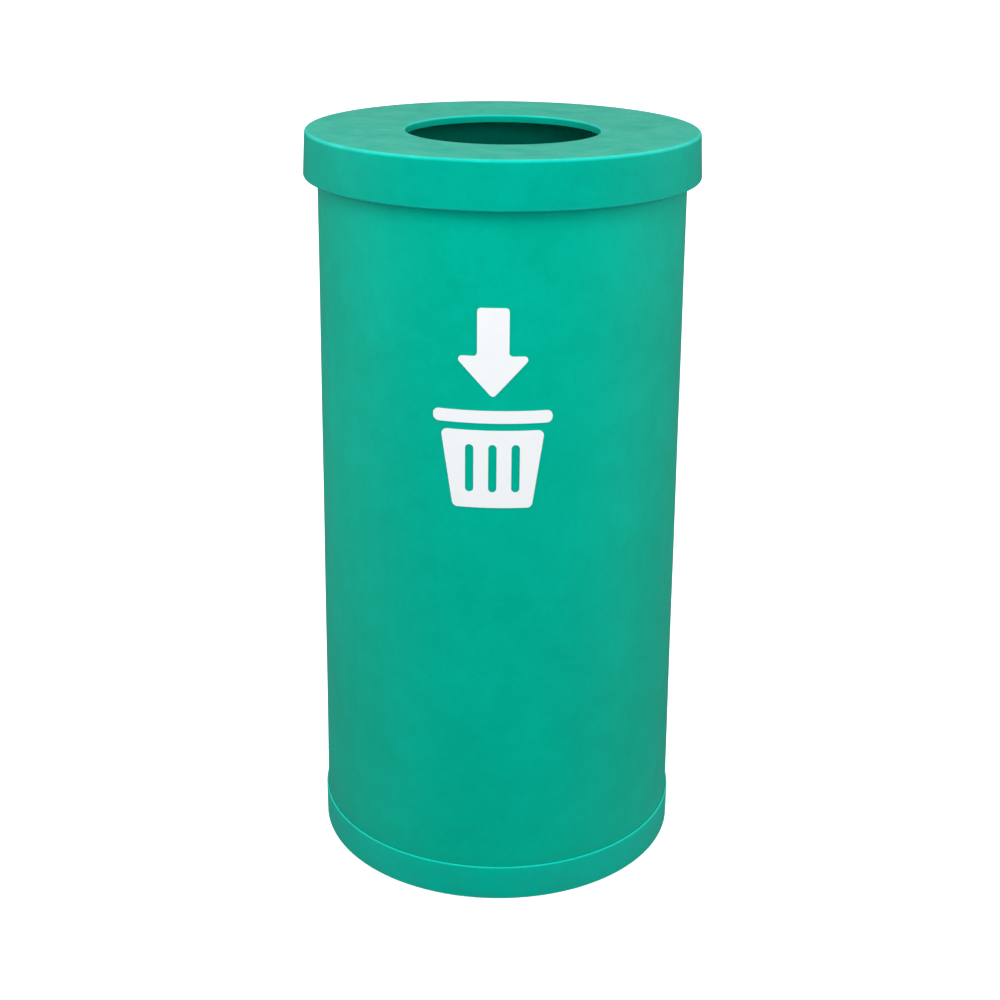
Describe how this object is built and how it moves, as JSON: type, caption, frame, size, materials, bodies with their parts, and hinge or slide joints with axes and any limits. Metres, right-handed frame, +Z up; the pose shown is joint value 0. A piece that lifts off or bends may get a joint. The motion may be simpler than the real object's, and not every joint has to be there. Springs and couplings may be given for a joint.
{
  "type": "litter bin",
  "caption": "Round floor-standing litter bin: tapered plastic drum on a moulded base, lift-off flat lid with a round aperture, lift-out steel liner with drop handles, rear cam lock.",
  "frame": {"origin": "middle of the flat underside of the base, on the axis of the drum", "axes": "+Z up along the drum's axis, front with the pictogram towards -Y, lock at the back towards +Y, +X to the right seen from the front"},
  "size_m": [0.4512, 0.4512, 0.875],
  "materials": {
    "drum_plastic": "semi-gloss rotomoulded polyethylene, green",
    "lid_plastic": "semi-gloss rotomoulded polyethylene, green",
    "base_plastic": "semi-gloss rotomoulded polyethylene, green",
    "white_vinyl": "white self-adhesive vinyl, satin",
    "galvanised_sheet": "hot-dip galvanised with spangle",
    "plated_steel": "zinc plated, satin",
    "brass": "turned, knurled",
    "lock_metal": "plated die casting"
  },
  "bodies": {
    "bin_body": {"body_shell": "drum_plastic", "base_pan": "base_plastic", "base_screw_1": "plated_steel", "base_screw_2": "plated_steel", "base_screw_3": "plated_steel", "base_screw_4": "plated_steel", "base_screw_5": "plated_steel", "base_screw_6": "plated_steel", "base_insert_1": "brass", "base_insert_2": "brass", "base_insert_3": "brass", "base_insert_4": "brass", "base_insert_5": "brass", "base_insert_6": "brass", "pictogram_arrow": "white_vinyl", "pictogram_bin_rim": "white_vinyl", "pictogram_bin_body": "white_vinyl"},
    "liner": {"liner_wall": "galvanised_sheet", "liner_rim_wire": "plated_steel", "liner_floor": "galvanised_sheet", "handle_saddle_left": "galvanised_sheet", "handle_saddle_right": "galvanised_sheet", "saddle_rivet_1": "plated_steel", "saddle_rivet_2": "plated_steel", "saddle_rivet_3": "plated_steel", "saddle_rivet_4": "plated_steel"},
    "left_handle": {"handle_left": "plated_steel"},
    "right_handle": {"handle_right": "plated_steel"},
    "lid": {"lid_shell": "lid_plastic", "lock_barrel": "lock_metal", "lock_nut": "lock_metal"},
    "lock_core": {"lock_plug": "lock_metal", "lock_cam": "lock_metal", "cam_screw": "plated_steel"}
  },
  "joints": [
    {"name": "liner_lift", "type": "slide", "parent": "bin_body", "child": "liner", "axis": [0, 0, 1], "range_m": [0, 0.87]},
    {"name": "lid_lift", "type": "slide", "parent": "liner", "child": "lid", "axis": [0, 0, 1], "range_m": [0, 0.3]},
    {"name": "left_handle_swing", "type": "hinge", "parent": "liner", "child": "left_handle", "pos_m": [-0.1798, 0, 0.76], "axis": [0, -1, 0], "range_deg": [0, 170]},
    {"name": "right_handle_swing", "type": "hinge", "parent": "liner", "child": "right_handle", "pos_m": [0.1798, 0, 0.76], "axis": [0, 1, 0], "range_deg": [0, 170]},
    {"name": "lock_turn", "type": "hinge", "parent": "lid", "child": "lock_core", "pos_m": [0, 0.2139, 0.849], "axis": [0, 1, 0], "range_deg": [0, 90]}
  ]
}
